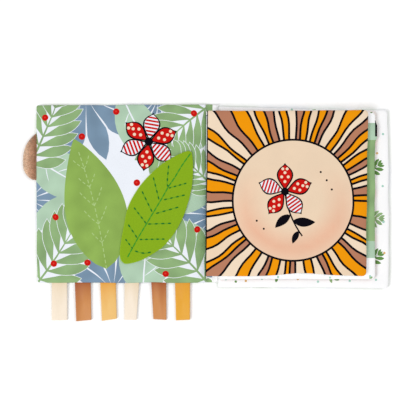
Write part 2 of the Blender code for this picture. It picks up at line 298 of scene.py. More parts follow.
# Stuffing the pages
# The seam holds the edge while pressure swells slightly oversize cloth, which puckers it. The
# move is kept small, and smaller downwards, because the wadding is thin and the faces meet.
BAG_CELLS = 44
STUFFING_FRAMES = 22
STUFFING = {
    "vertex_group_mass": "seam", "mass": 0.15, "tension_stiffness": 12, "compression_stiffness": 12,
    "shear_stiffness": 4, "bending_stiffness": 0.05, "shrink_min": -0.022, "use_pressure": True,
    "uniform_pressure_force": 1.2,
}
OUTWARD, DENT, UNDER_DENT, SIDEWAYS = 0.12, 0.45, 0.22, 0.4
SETTLING = 0.6


def stuffing_bag(page):
    """A closed coarse mesh of both cloths, with the vertices of its seam in a group."""
    shape = bmesh.new()
    bmesh.ops.create_grid(shape, x_segments=BAG_CELLS, y_segments=BAG_CELLS, size=0.5)
    flat = np.array([vert.co[:2] for vert in shape.verts]) + 0.5
    places = page.spread(flat)
    on_seam = (np.abs(flat - 0.5) > 0.499).any(axis=1)
    rise = np.where(on_seam, 0, page.swell(places))
    columns, rows = shape.verts.layers.int.new("column"), shape.verts.layers.int.new("row")
    for vert, share, place, height in zip(shape.verts, flat, places, rise):
        vert[columns], vert[rows] = round(share[0] * BAG_CELLS), round(share[1] * BAG_CELLS)
        vert.co = Vector((*place, page.middle + height)) * MM
    copy = bmesh.ops.duplicate(shape, geom=shape.verts[:] + shape.edges[:] + shape.faces[:])
    kinds = (bmesh.types.BMVert, bmesh.types.BMFace)
    under, faces = [[item for item in copy["geom"] if isinstance(item, kind)] for kind in kinds]
    flip = Matrix.Translation((0, 0, 2 * page.middle * MM)) @ Matrix.Diagonal((1, 1, -1, 1))
    bmesh.ops.transform(shape, matrix=flip, verts=under)
    bmesh.ops.reverse_faces(shape, faces=faces)
    seam = [vert for vert in shape.verts if abs(vert.co.z - page.middle * MM) < 1e-7]
    bmesh.ops.remove_doubles(shape, verts=seam, dist=1e-6)
    shape.verts.index_update()
    bag = new_piece("stuffing_bag", shape)
    group = bag.vertex_groups.new(name="seam")
    held = [vert.index for vert in bag.data.vertices if abs(vert.co.z - page.middle * MM) < 1e-7]
    group.add(held, 1.0, "REPLACE")
    cloth = bag.modifiers.new("stuffing", "CLOTH")
    for name, value in STUFFING.items():
        setattr(cloth.settings, name, value)
    cloth.settings.effector_weights.gravity = 0
    cloth.point_cache.frame_start = 1
    cloth.point_cache.frame_end = STUFFING_FRAMES
    return bag


def measure_bag(page, bag):
    """Keep how far each cloth moved, as a grid over the page, one for each side."""
    rest = np.array([v.co for v in bag.data.vertices]) / MM
    worn = bag.evaluated_get(bpy.context.evaluated_depsgraph_get()).to_mesh()
    moved = np.array([v.co for v in worn.vertices]) / MM - rest
    cells = [[cell.value for cell in bag.data.attributes[name].data] for name in ("column", "row")]
    columns, rows = np.array(cells)
    for side in (1, -1):
        grid = np.zeros((BAG_CELLS + 1, BAG_CELLS + 1, 3))
        chosen = side * (rest[:, 2] - page.middle) > 1e-4
        grid[columns[chosen], rows[chosen]] = moved[chosen]
        inner = grid[2:-2, 2:-2, 2]
        grid[..., 2] -= side * SETTLING * (side * inner).max() * (grid[..., 2] != 0)
        limits = (-DENT, OUTWARD) if side > 0 else (0.0, UNDER_DENT)
        grid[..., 2] = np.clip(grid[..., 2], *limits)
        grid[..., :2] = np.clip(grid[..., :2], -SIDEWAYS, SIDEWAYS)
        page.relief[side] = grid


def blurred_read(grid, shares):
    """Read a grid of moves smoothly, by a cubic B-spline over its sixteen nearest places."""
    places = shares * BAG_CELLS
    cell = np.clip(np.floor(places).astype(int), 0, BAG_CELLS - 1)
    f = places - cell
    weights = [(1 - f) ** 3, 3 * f ** 3 - 6 * f ** 2 + 4, -3 * f ** 3 + 3 * f ** 2 + 3 * f + 1, f ** 3]
    total = np.zeros((len(shares), 3))
    for across in range(4):
        for up in range(4):
            at = np.clip(cell + (across - 1, up - 1), 0, BAG_CELLS)
            weight = weights[across][:, 0] * weights[up][:, 1] / 36
            total += weight[:, None] * grid[at[:, 0], at[:, 1]]
    return total


bags = [stuffing_bag(page) for page in PAGES]
for number in range(1, STUFFING_FRAMES + 1):
    bpy.context.scene.frame_set(number)
for page, bag in zip(PAGES, bags):
    measure_bag(page, bag)
    bag_mesh = bag.data
    bpy.data.objects.remove(bag)
    bpy.data.meshes.remove(bag_mesh)
bpy.context.scene.frame_set(1)

# Printed cotton
# Plain-weave cotton, about 20 threads to the centimetre, with a pigment print. A print is a list
# of flat shapes, cut into the face's mesh in the order of printing, so its outlines are sharp.
INK = "print"
THREAD_PITCH = 0.9
GRID_STEP = 5.0
EDGE_INSETS = (0.12, 0.4, 1.0, 2.0, 3.4, 5.2, 7.4)
MERGING = 4e-3


def wave_scale(pitch):
    """The scale that repeats a wave texture every pitch millimetres."""
    return math.tau / 20 / (pitch * MM)


def printed_cotton(name):
    """The woven finish. Its threads are drawn twice as coarse as real ones, so that they show."""
    finish, tree, shader, place = new_finish(name)
    warp, weft = [add_node(tree, "TexWave", {"Vector": place, "Scale": wave_scale(THREAD_PITCH)},
                           bands_direction=way).outputs["Fac"] for way in "XY"]
    weave = add_node(tree, "Math", {0: warp, 1: weft}, operation="MULTIPLY")
    slub = add_node(tree, "TexNoise", {"Vector": place, "Scale": 900.0, "Detail": 2.0})
    cloud = add_node(tree, "TexNoise", {"Vector": place, "Scale": 45.0, "Detail": 3.0})
    ink = add_node(tree, "Attribute", attribute_name=INK)
    shade = add_node(tree, "MapRange", {"Value": weave, "To Min": 0.948, "To Max": 1.06})
    fade = add_node(tree, "MapRange", {"Value": cloud, "From Min": 0.3, "From Max": 0.7, "To Min": 0.975,
                                       "To Max": 1.02})
    both = add_node(tree, "Math", {0: shade, 1: fade}, operation="MULTIPLY")
    worn = add_node(tree, "VectorMath", {0: ink, "Scale": both}, operation="SCALE")
    relief = add_node(tree, "Math", {0: weave, 1: slub}, operation="ADD")
    bump = add_node(tree, "Bump", {"Height": relief, "Strength": 0.35, "Distance": 0.12 * MM})
    set_inputs(tree, shader, {"Base Color": worn, "Normal": bump, "Roughness": 0.9,
                              "Specular IOR Level": 0.06, "Sheen Weight": 0.02})
    return finish


def signed_area(ring):
    """The area inside a closed ring of points, less than 0 if the ring turns clockwise."""
    return sum(a[0] * b[1] - b[0] * a[1] for a, b in zip(ring, ring[1:] + ring[:1])) / 2


def cut_cloth(rings, grid, shapes):
    """Cut a flat outline, its inset rings and the shapes of a print into triangles.

    Gives the flat points, the triangles inside the outline, and each triangle's top shape, where
    0 is the bare ground."""
    points = [tuple(p) for p in grid]
    edges, faces = [], []
    for ring in [rings[0]] + [ring for _, ring in shapes]:
        first = len(points)
        points += ring if signed_area(ring) > 0 else ring[::-1]
        faces.append(list(range(first, len(points))))
    for ring in rings[1:]:
        first = len(points)
        points += ring
        edges += [(first + at, first + (at + 1) % len(ring)) for at in range(len(ring))]
    made = geometry.delaunay_2d_cdt([Vector(p) for p in points], edges, faces, 0, MERGING, True)
    kept = [(face, max(owners)) for face, owners in zip(made[2], made[5]) if 0 in owners]
    used = sorted({corner for face, _ in kept for corner in face})
    number = {old: new for new, old in enumerate(used)}
    flat = np.array([tuple(made[0][old]) for old in used])
    return flat, [[number[corner] for corner in face] for face, _ in kept], [top for _, top in kept]


def ink_mesh(mesh, triangles, tops, inks, flat):
    """Colour each triangle's corners. An ink is an sRGB hex, or a function of the flat place."""
    values = []
    plain = {ink: linear_colour(ink) for ink in inks if not callable(ink)}
    for triangle, top in zip(triangles, tops):
        ink = inks[top]
        values += [ink(*flat[corner]) if callable(ink) else plain[ink] for corner in triangle]
    colours = mesh.color_attributes.new(INK, "FLOAT_COLOR", "CORNER")
    colours.data.foreach_set("color", np.array(values, np.float32).ravel())


def cloth_piece(name, places, triangles, finish):
    """A smooth object at the origin from places in millimetres and the triangles between them."""
    mesh = bpy.data.meshes.new(name)
    mesh.from_pydata((np.array(places) * MM).tolist(), [], triangles)
    mesh.shade_smooth()
    mesh.materials.append(finish)
    return place_object(name, mesh)


def thicken(piece, name, thickness, offset=-1):
    """Give a thin piece its thickness in millimetres."""
    wall = piece.modifiers.new(name, "SOLIDIFY")
    wall.thickness = thickness * MM
    wall.offset = offset


def printed_face(page, side, ground, shapes, finish):
    """One printed cloth of a page, cut along the outlines of its print and shaped by the stuffing."""
    rings = [page.outline(inset) for inset in (0, *EDGE_INSETS)]
    low, high = page.edge.min(0), page.edge.max(0)
    steps = np.ceil((high - low) / GRID_STEP).astype(int)
    across, up = np.meshgrid(np.linspace(low[0], high[0], steps[0]), np.linspace(low[1], high[1], steps[1]))
    grid = np.stack([across.ravel(), up.ravel()], 1)
    flat, triangles, tops = cut_cloth(rings, grid[page.holds(grid)], shapes)
    places = np.empty((len(flat), 3))
    places[:, :2] = flat
    places[:, 2] = page.middle + side * page.swell(flat)
    places += blurred_read(page.relief[side], page.shares(flat))
    if side < 0:
        triangles = [triangle[::-1] for triangle in triangles]
    name = page.upper if side > 0 else page.lower
    cloth = cloth_piece(f"printed_{name}", places, triangles, finish)
    ink_mesh(cloth.data, triangles, tops, [ground] + [ink for ink, _ in shapes], flat)
    thicken(cloth, "cloth_thickness", COTTON)
    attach(cloth, page.body)
    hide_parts(name)
    return cloth


# Shapes of the prints
# Leaves, dots and strokes as flat outlines in millimetres, headings in degrees. A blade is a leaf
# along a bent midline, and a slice of a blade is a stripe that stays inside it.
def wash(hex_text, depth):
    """A water-colour ink: its tone drifts by depth in soft patches about 12 mm across."""
    base = linear_colour(hex_text)

    def tone(x, y):
        drift = 1 + depth * noise.noise((x * 0.08, y * 0.08, base[2] * 90))
        return (base[0] * drift, base[1] * drift, base[2] * drift, 1.0)

    return tone


SAGE, MINT = wash("8DAD79", 0.24), wash("AFCBB2", 0.12)
SLATE, OLIVE = wash("7A93AA", 0.2), wash("8CAD55", 0.16)
WHITE, BRIGHT, STITCH, RED, SPOT = "EBEFF7", "FDFDFE", "ABC783", "C8140E", "D8382C"
INKY, CREAM, PEACH, MUSTARD, EARTH = "08060F", "EFD9BF", "EBD2B6", "EE9606", "B67C60"
MIDLINE_STEPS = 8
NARROWEST = 0.02


def toward(heading):
    """The unit vector at a heading."""
    angle = math.radians(heading)
    return Vector((math.cos(angle), math.sin(angle)))


def midline(base, heading, length, bend, share):
    """The point and heading at a share along a line that turns evenly by bend."""
    point = Vector(base)
    for step in range(MIDLINE_STEPS):
        way = toward(heading + bend * share * (step + 0.5) / MIDLINE_STEPS)
        point += way * (length * share / MIDLINE_STEPS)
    return point, heading + bend * share


def blade(base, heading, length, width, bend=0.0, belly=0.45, start=0.0, end=1.0, steps=9, lift=0.0,
          root=0.0):
    """A leaf shape, or the slice of it from start to end. lift makes it wider all round, root at its foot."""
    power = math.log(0.5) / math.log(belly)
    left, right = [], []
    for step in range(steps + 1):
        share = start + (end - start) * step / steps
        point, angle = midline(base, heading, length, bend, share)
        half = math.sin(math.pi * share ** power) ** 0.85 if 0 < share < 1 else 0
        half = width / 2 * (half + root * (1 - share) ** 3) + lift
        side = toward(angle).orthogonal() * half
        left.append(point + side)
        if half >= NARROWEST:
            right.append(point - side)
    if lift:
        left.append(point + toward(angle) * lift * 1.4)
    return [tuple(p) for p in right + left[::-1]]


def dot(centre, radius, steps=14):
    """A round dot."""
    turns = [math.tau * step / steps for step in range(steps)]
    return [(centre[0] + radius * math.cos(t), centre[1] + radius * math.sin(t)) for t in turns]


def line_band(line, width):
    """A band of even width along a line of points."""
    left, right = [], []
    for at, place in enumerate(line):
        run = (line[min(at + 1, len(line) - 1)] - line[max(at - 1, 0)]).normalized()
        side = run.orthogonal() * width / 2
        left.append(tuple(place + side))
        right.append(tuple(place - side))
    return right + left[::-1]


def smooth_line(points, closed, parts=4):
    """A rounder line through the points (Catmull-Rom)."""
    count = len(points)
    fine = []
    for at in range(count if closed else count - 1):
        ends = [at - 1, at, at + 1, at + 2]
        ends = [k % count for k in ends] if closed else [min(max(k, 0), count - 1) for k in ends]
        a, b, c, d = [Vector(points[k]) for k in ends]
        for part in range(parts):
            t = part / parts
            fine.append(0.5 * (2 * b + (c - a) * t + (2 * a - 5 * b + 4 * c - d) * t * t
                               + (3 * b - 3 * c + d - a) * t ** 3))
    if not closed:
        fine.append(Vector(points[-1]))
    return fine


def dashes(base, heading, length, bend, width, dash, gap):
    """A line of printed running stitches along a bent midline."""
    shapes = []
    for number in range(int(length / (dash + gap))):
        start = number * (dash + gap)
        ends = [midline(base, heading, length, bend, reach / length)[0] for reach in (start, start + dash)]
        shapes.append((STITCH, line_band(ends, width)))
    return shapes


def frond(base, heading, length, reach, bend=14.0, pairs=9, ink=SAGE, gap=WHITE):
    """A palm frond: leaflets in pairs that touch farther out and leave pale wedges by the stalk."""
    shapes = [(gap, blade(base, heading, length * 0.98, reach * 1.05, bend, belly=0.5, steps=12))]
    for number in range(pairs):
        share = 0.06 + 0.86 * number / (pairs - 1)
        point, angle = midline(base, heading, length, bend, share)
        size = reach * (0.66 + 0.5 * math.sin(math.pi * (0.12 + 0.8 * share))) * (1.08 - 0.35 * share)
        width = min(length / pairs * 0.98, size * 0.36)
        for side in (1, -1):
            way = angle + side * (64 - 36 * share)
            for lift, colour in ((0.5, gap), (0, ink)):
                leaflet = blade(point, way, size, width, -side * 14, belly=0.6, lift=lift, root=0.1)
                shapes.append((colour, leaflet))
    tip, angle = midline(base, heading, length, bend, 0.93)
    shapes.append((ink, blade(tip, angle, reach * 0.6, length / pairs * 0.7)))
    shapes.append((ink, blade(base, heading, length, 1.6, bend, belly=0.3, root=0.8)))
    return shapes


def broad_leaf(base, heading, length, width, bend=8.0, ink=MINT, slits=4):
    """A broad banana leaf with a pale midrib and a few pale slits."""
    shapes = [(ink, blade(base, heading, length, width, bend, belly=0.42, steps=12))]
    shapes.append((WHITE, blade(base, heading, length * 0.94, 1.5, bend, belly=0.25)))
    for number in range(slits):
        point, angle = midline(base, heading, length, bend, 0.22 + 0.17 * number)
        side = 1 if number % 2 else -1
        shapes.append((WHITE, blade(point, angle + side * 52, width * 0.4, 0.9, side * -14, steps=5)))
    return shapes


def fan_leaf(base, heading, spread, length, count=6, ink=SLATE):
    """A fan of rounded blades from one point, parted by pale slits."""
    shapes = []
    for number in range(count):
        share = number / (count - 1) - 0.5
        size = length * (1 - 0.5 * share ** 2)
        shapes.append((ink, blade(base, heading + spread * share, size, length * 0.3, share * 24, belly=0.6)))
    for number in range(count - 1):
        share = (number + 0.5) / (count - 1) - 0.5
        slit = length * (0.8 - 0.14 * (number % 2))
        shapes.append((WHITE, blade(base, heading + spread * share, slit, 1.7, share * 24, belly=0.75)))
    return shapes


def berry(centre, radius=3.3):
    """A red berry with a small light spot."""
    return [(RED, dot(centre, radius)), (SPOT, dot((centre[0] - 0.3, centre[1] + 0.3), radius * 0.3, 8))]


def flower(centre, size, petals, turn):
    """A flower with dark outlined petals, by turns red with cream dots and red and white striped."""
    shapes = []
    width = size * 0.58
    for number in range(petals):
        way = turn + 360 * number / petals
        start = Vector(centre) + toward(way) * size * 0.12
        shapes.append((INKY, blade(start, way, size, width, belly=0.58, lift=1.5)))
        shapes.append((WHITE if number % 2 else RED, blade(start, way, size, width, belly=0.58)))
        if number % 2:
            for stripe in range(6):
                low = 0.12 + 0.14 * stripe
                shapes.append((RED, blade(start, way, size, width * 0.97, belly=0.58, start=low,
                                          end=low + 0.075, steps=2)))
        else:
            for share, off in ((0.3, 0), (0.5, 0.24), (0.5, -0.24), (0.68, 0), (0.84, 0.16), (0.84, -0.16)):
                point, angle = midline(start, way, size, 0, share)
                shapes.append((CREAM, dot(point + toward(angle).orthogonal() * width * off, size * 0.065, 9)))
    shapes.append((INKY, dot(centre, size * 0.17, 16)))
    return shapes


# Front cover
# Its inner face is the left page, a jungle print in sage, mint and slate on white, with one big
# printed leaf and a flower. The outer face has the same print turned over, with more leaves.
def on_page(page, across, up):
    """The place at these shares across and up a page, in millimetres."""
    return tuple(page.spread(np.array([[across, up]]))[0])


LEFT_PAGE_LEAVES = (
    (fan_leaf, 0.29, 1.05, -88, 150, 68), (fan_leaf, 0.90, 0.80, 190, 140, 54),
    (fan_leaf, -0.05, 0.47, -4, 110, 48), (fan_leaf, 0.45, -0.04, 84, 130, 52),
    (fan_leaf, 1.06, 0.38, 176, 120, 52), (fan_leaf, 0.72, 1.04, -96, 90, 40),
    (fan_leaf, -0.02, 1.04, -60, 60, 40), (broad_leaf, 0.50, 1.06, -66, 92, 40),
    (broad_leaf, -0.06, 0.25, 26, 98, 46), (broad_leaf, 1.08, 0.58, 196, 84, 46),
    (broad_leaf, 0.62, -0.08, 84, 92, 52), (broad_leaf, -0.04, 0.72, -34, 84, 44),
    (broad_leaf, 1.05, 0.16, 150, 70, 36), (broad_leaf, 1.06, 0.86, 190, 62, 34),
    (frond, -0.06, 0.64, 60, 96, 38), (frond, 1.06, 1.02, 214, 84, 38), (frond, -0.05, -0.06, 50, 104, 40),
    (frond, 1.06, -0.06, 128, 108, 40), (frond, 1.07, 0.50, 128, 58, 26),
)
MIDDLE_LEAVES = (
    (fan_leaf, 0.34, 0.22, 74, 150, 56), (fan_leaf, 0.74, 0.66, 196, 130, 52),
    (broad_leaf, 0.66, 0.18, 104, 92, 40), (broad_leaf, 0.24, 0.80, -52, 84, 38),
    (frond, 0.34, 0.24, 66, 92, 30), (frond, 0.80, 0.72, 190, 60, 24),
)
BERRIES = ((0.05, 0.93), (0.27, 0.82), (0.93, 0.95), (0.59, 0.56), (0.11, 0.37), (0.30, 0.115), (0.10, 0.11),
           (0.95, 0.30), (0.76, 0.05), (0.47, 0.96), (0.87, 0.68))


def jungle(page, leaves, across_way=1, up_way=1):
    """A jungle print from rows of a leaf, its shares across and up the page, its heading and two sizes.

    A way of -1 turns the print over from side to side or from top to bottom."""
    def turned(across, up):
        return on_page(page, 0.5 + (across - 0.5) * across_way, 0.5 + (up - 0.5) * up_way)

    shapes = []
    for leaf, across, up, heading, *sizes in leaves:
        angle = math.radians(heading)
        angle = math.atan2(math.sin(angle) * up_way, math.cos(angle) * across_way)
        shapes += leaf(turned(across, up), math.degrees(angle), *sizes)
    for spot in BERRIES:
        shapes += berry(turned(*spot))
    return shapes


def big_leaf(base, heading, length, width):
    """A large printed leaf with pale running stitches for its midrib and veins."""
    shapes = [(OLIVE, blade(base, heading, length, width, 14, belly=0.42, steps=22))]
    shapes += dashes(base, heading, length * 0.93, 13, 0.9, 3.6, 2.2)
    for number in range(5):
        point, angle = midline(base, heading, length, 14, 0.2 + 0.14 * number)
        vein = width * (0.42 - 0.05 * abs(number - 1.4))
        for side in (1, -1):
            shapes += dashes(point, angle + side * 42, vein, -side * 16, 0.85, 3.2, 2.2)
    return shapes


cotton = printed_cotton("printed_plain_weave_cotton")
left_page = jungle(front_cover, LEFT_PAGE_LEAVES)
left_page += big_leaf(on_page(front_cover, 0.41, 0.08), 97, 134, 61)
left_page += flower(on_page(front_cover, 0.66, 0.79), 25, 6, 20)
front_inner = printed_face(front_cover, 1, WHITE, left_page, cotton)
outer_print = jungle(front_cover, MIDDLE_LEAVES + LEFT_PAGE_LEAVES, -1, 1)
printed_face(front_cover, -1, WHITE, outer_print, cotton)

# Back cover
# White cotton inside, with small fronds and dots along the margin that shows beside the leaves.
# Outside it has the same jungle print as the front cover.
def twig(base, heading, length, ink=SAGE, pairs=4):
    """A small twig with rounded leaves in pairs."""
    shapes = [(ink, blade(base, heading, length, 0.9, 10, belly=0.3))]
    for number in range(pairs):
        point, angle = midline(base, heading, length, 10, 0.16 + 0.78 * number / pairs)
        size = length * (0.36 - 0.03 * number)
        for side in (1, -1):
            leaf = blade(point, angle + side * 42, size, length * 0.095, side * 14, belly=0.55, steps=6)
            shapes.append((ink, leaf))
    return shapes


TEAL, FERN, OCHRE = "A9D3C4", "648F4C", "DDB070"
margin = []
for place, heading, ink in (((153, 22), 16, FERN), ((153, -24), -12, SAGE), ((153, -68), 20, FERN)):
    margin += frond(place, heading, 15, 11, pairs=4, ink=ink, gap=BRIGHT)
for place, heading, length, width, ink in (
    ((64, -89), 74, 7, 3, FERN), ((118, -84), -70, 6, 3, SAGE), ((122, -85), -20, 6, 3, FERN),
    ((98, 87), -30, 7, 3, SAGE), ((152, -86), 30, 5, 2.4, FERN),
):
    margin.append((ink, blade(place, heading, length, width)))
for spot, ink in (
    ((171.0, 59.3), TEAL), ((165.5, 39.8), OCHRE), ((171.0, 7.3), TEAL), ((172.0, -28.7), TEAL),
    ((172.5, -59.7), OCHRE), ((164.0, -86.7), TEAL), ((106.0, -88.7), TEAL), ((34.0, -87.5), OCHRE),
    ((80.0, 84.0), TEAL), ((146.0, 82.0), OCHRE), ((90.0, 10.0), TEAL), ((52.0, 44.0), OCHRE),
    ((14.0, -86.0), TEAL), ((24.0, -88.0), FERN), ((50.0, -85.5), TEAL), ((86.0, -86.0), OCHRE),
    ((138.0, -88.0), TEAL),
):
    margin.append((ink, dot(spot, 1.25, 10)))
for number in range(24):
    place = on_page(back_cover, 0.12 + 0.16 * (number % 5), 0.17 + 0.155 * (number // 5))
    margin += twig(place, 70 + 83 * number, 20, (SAGE, FERN, MINT)[number % 3])
back_inner = printed_face(back_cover, 1, BRIGHT, margin, cotton)
outer_print = jungle(back_cover, MIDDLE_LEAVES + LEFT_PAGE_LEAVES, 1, -1)
printed_face(back_cover, -1, WHITE, outer_print, cotton)

# Leaves of the inner spread
# The upper leaf's top is the right page, a sunburst in mustard, earth and cream. The lower leaf
# shows only as a margin right of and below it.
def sun_disc(x, y):
    """Peach, with a coral tint round the lower half of the disc."""
    place = (Vector((x, y)) - SUN).length / SUN_RADIUS
    tint = max(0.0, 1 - abs(place - 0.8) / 0.34) * min(1.0, max(0.0, 0.55 - (y - SUN.y) / SUN_RADIUS))
    return [a + (b - a) * 0.75 * tint for a, b in zip(linear_colour(PEACH), linear_colour("E9AE90"))]


SUN, SUN_RADIUS, RAY_REACH = Vector((81, -7)), 60, 130
rng = random.Random(12)
rays = [(0.0, rng.uniform(0, math.tau), 1.0)]
while rays[-1][0] < 350:
    wide = rng.choice((rng.uniform(3.6, 4.8), rng.uniform(5.0, 8.4)))
    rays.append((rays[-1][0] + wide, rng.uniform(0, math.tau), min(wide, 6.0) * 0.16))
rays[-1] = (360.0, *rays[0][1:])


def ray_side(ray, shift):
    """One wavering side of a ray, moved over by shift to leave room for its dark outline."""
    turn, phase, sway = ray
    line = []
    for step in range(13):
        reach = SUN_RADIUS - 2 + (RAY_REACH - SUN_RADIUS) * step / 12
        way = toward(turn + sway * math.sin(phase + step * 0.75) * min(1, step / 4))
        line.append(tuple(SUN + way * reach + way.orthogonal() * shift))
    return line


right_page = []
inks = (MUSTARD, EARTH, CREAM, MUSTARD, CREAM, EARTH, MUSTARD, PEACH)
for number, (low_ray, high_ray) in enumerate(zip(rays, rays[1:])):
    right_page.append((inks[number % len(inks)], ray_side(low_ray, 1.1) + ray_side(high_ray, -1.1)[::-1]))
# This dark band along the spine side of the right page is painted shadow of the gutter gap, drawn in dark
# ink.
right_page.append((INKY, line_band([upper_leaf.corners[0], upper_leaf.corners[3]], 1.8)))
right_page.append((INKY, dot(SUN, SUN_RADIUS + 1, 90)))
right_page.append((sun_disc, dot(SUN, SUN_RADIUS - 1, 90)))
bloom = SUN + Vector((-8, 9))
stalk = [midline(bloom, -84, 48, 30, step / 8)[0] for step in range(9)]
right_page.append((INKY, line_band(stalk, 1.5)))
for at, way, size in ((4, -150, 20), (5, -14, 22), (7, -126, 14)):
    right_page.append((INKY, blade(stalk[at], way, size, size * 0.42, 20)))
right_page += flower(bloom, 23, 5, 90)
for spot in ((33, 20), (27, 28), (38, 11), (-36, -20), (-29, -28)):
    right_page.append((INKY, dot(SUN + Vector(spot), 1.1, 8)))
printed_face(upper_leaf, 1, INKY, right_page, cotton)

under = []
for row in range(6):
    for column in range(6):
        place = on_page(upper_leaf, 0.08 + 0.16 * column + 0.05 * (row % 2), 0.06 + 0.165 * row)
        under += twig(place, 40 + 97 * (row * 6 + column), 17, (SAGE, MINT, FERN)[(row + column) % 3])
        under.append((OCHRE, dot((place[0] + 11, place[1] + 7), 1.3, 10)))
printed_face(upper_leaf, -1, BRIGHT, under, cotton)


def block(left, right, top, bottom):
    """An upright rectangle."""
    return [(left, bottom), (right, bottom), (right, top), (left, top)]


panels = [(MINT, block(30, 175, 70.3, -64.7)), (SAGE, block(46, 175, 53.3, -47.7))]
panels += [(FERN, blade((158, 81), 10, 3.4, 2.2)), (SAGE, blade((157, -85), 20, 4, 2.4))]
panels += [(TEAL, dot(spot, 1.2, 9)) for spot in ((66, -84), (118, -84), (158, -83))]
panels += frond((52, -40), 35, 46, 18) + frond((150, 44), 205, 46, 18) + flower((100, 3), 26, 6, 15)
rolled = lower_leaf.corners[2].x
panels.append((INKY, block(rolled - 0.3, rolled + 3, 73.0, 56.8)))
lower_top = printed_face(lower_leaf, 1, BRIGHT, panels, cotton)

stripes = []
low_edge = -100.0
while low_edge < 100:
    wide = rng.uniform(7, 13)
    stripes.append((inks[len(stripes) % len(inks)], block(-10, 175, low_edge + wide - 1.1, low_edge)))
    low_edge += wide
printed_face(lower_leaf, -1, INKY, stripes, cotton)

# Spine and gutter
# A strip of the jungle print and a white lining join the covers, and a fold joins the two leaves.
# A sewn tab holds the fold to the spine.
BAND_STEP = 2.5
SPINE_HALF, SPINE_FLOOR, SPINE_RISE, LINING_GAP = 5.85, 0.4, 1.95, 0.75
LEAF_CORNER = 4


def band(name, line, low, high, lift, finish, shapes=(), ground=WHITE):
    """A strip of cloth along y. line is its section in x and z, and lift makes it faintly wavy."""
    rng = random.Random(name)
    rows = int((high - low) / BAND_STEP)
    runs = [0.0]
    for a, b in zip(line, line[1:]):
        runs.append(runs[-1] + math.dist(a, b))
    stations = [low + (high - low) * row / rows for row in range(rows + 1)]
    outline = [(run, low) for run in runs[:-1]] + [(runs[-1], y) for y in stations[:-1]]
    outline += [(run, high) for run in runs[:0:-1]] + [(0.0, y) for y in stations[:0:-1]]
    grid = [(run, y) for run in runs[1:-1] for y in stations[1:-1]]
    flat, triangles, tops = cut_cloth([outline], grid, list(shapes))
    waves = [(rng.uniform(0.4, 1), rng.uniform(0, math.tau), rng.uniform(0.12, 0.45)) for _ in range(4)]
    places = []
    for run, y in flat:
        at = max(number for number, start in enumerate(runs[:-1]) if start <= run + 1e-6)
        share = (run - runs[at]) / (runs[at + 1] - runs[at])
        wave = sum(size * math.sin(rate * y + phase + run * 0.5) for size, phase, rate in waves)
        ends = math.sin(math.pi * min(1, max(0, run / runs[-1])))
        x, z = [a + (b - a) * share for a, b in zip(line[at], line[at + 1])]
        places.append((x, y, z + lift * wave * ends))
    strip = cloth_piece(name, places, triangles, finish)
    ink_mesh(strip.data, triangles, tops, [ground] + [ink for ink, _ in shapes], flat)
    shape = bmesh.new()
    shape.from_mesh(strip.data)
    bmesh.ops.solidify(shape, geom=shape.faces[:], thickness=COTTON * MM)
    shape.to_mesh(strip.data)
    shape.free()
    strip.data.shade_smooth()
    return strip, runs[-1] * MM


lining_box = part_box("spine_lining_cloth")
spine_low, spine_high = lining_box[0].y / MM, lining_box[1].y / MM
stations = np.linspace(SPINE_HALF, -SPINE_HALF, 25)
dip = [(x, SPINE_FLOOR + SPINE_RISE * abs(x / SPINE_HALF) ** 4) for x in stations]
spine_shapes = []
for number in range(17):
    foot = (13 * (number % 2), spine_low - 4 + 10.8 * number)
    spine_shapes += broad_leaf(foot, 44 + 92 * (number % 2), 23, 9.5, 20 - 40 * (number % 2),
                               (SAGE, MINT, SAGE, SLATE)[number % 4], 0)
spine_width = sum(math.dist(a, b) for a, b in zip(dip, dip[1:]))
lining_shapes = [(SAGE, block(spine_width * 0.46, spine_width, spine_high, spine_high - 7))]
for number in range(40):
    ink = (SAGE, SAGE, SLATE, MINT, SAGE)[number % 5]
    start = (spine_width * 1.1, spine_low + (spine_high - spine_low) * (number + rng.uniform(0.2, 0.8)) / 40)
    way = 180 + rng.choice((-1, 1)) * rng.uniform(12, 44)
    reach = spine_width * rng.uniform(0.5, 0.8)
    lining_shapes.append((ink, blade(start, way, reach, rng.uniform(4.4, 7.0), 8)))
for name, line, node, slot, shapes, ground in (
    ("printed_spine_outer", dip, "spine_outer_cloth", "jungle_print_cotton", spine_shapes, WHITE),
    ("white_spine_lining", [(x, z + LINING_GAP) for x, z in dip], "spine_lining_cloth",
     "white_print_cotton", lining_shapes, BRIGHT),
):
    strip, width = band(name, line, spine_low, spine_high, 0.1, cotton, shapes, ground)
    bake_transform(strip)
    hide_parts(node)

leaf_low, leaf_high = lower_leaf.corners[0].y + LEAF_CORNER, lower_leaf.corners[2].y - LEAF_CORNER
fold_line = smooth_line([(7.7, 7.4), (6.0, 6.4), (4.0, 5.9), (1.5, 5.7), (-1.5, 6.2), (-4.0, 7.7),
                         (-5.3, 9.6), (-5.6, 10.8), (-5.4, 11.9)], False, 3)
fold, width = band("inner_spread_fold", fold_line, leaf_low, leaf_high, 0.12, cotton)
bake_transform(fold)
tab_line = smooth_line([(4.6, 1.9), (2.2, 1.6), (1.1, 1.75), (0.6, 2.6), (0.5, 3.4), (0.5, 4.2),
                        (0.55, 4.8), (1.0, 5.3), (2.6, 5.35), (4.4, 5.45)], False, 3)
tab, width = band("gutter_tab", tab_line, leaf_low, leaf_high, 0.05, cotton)
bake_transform(tab)

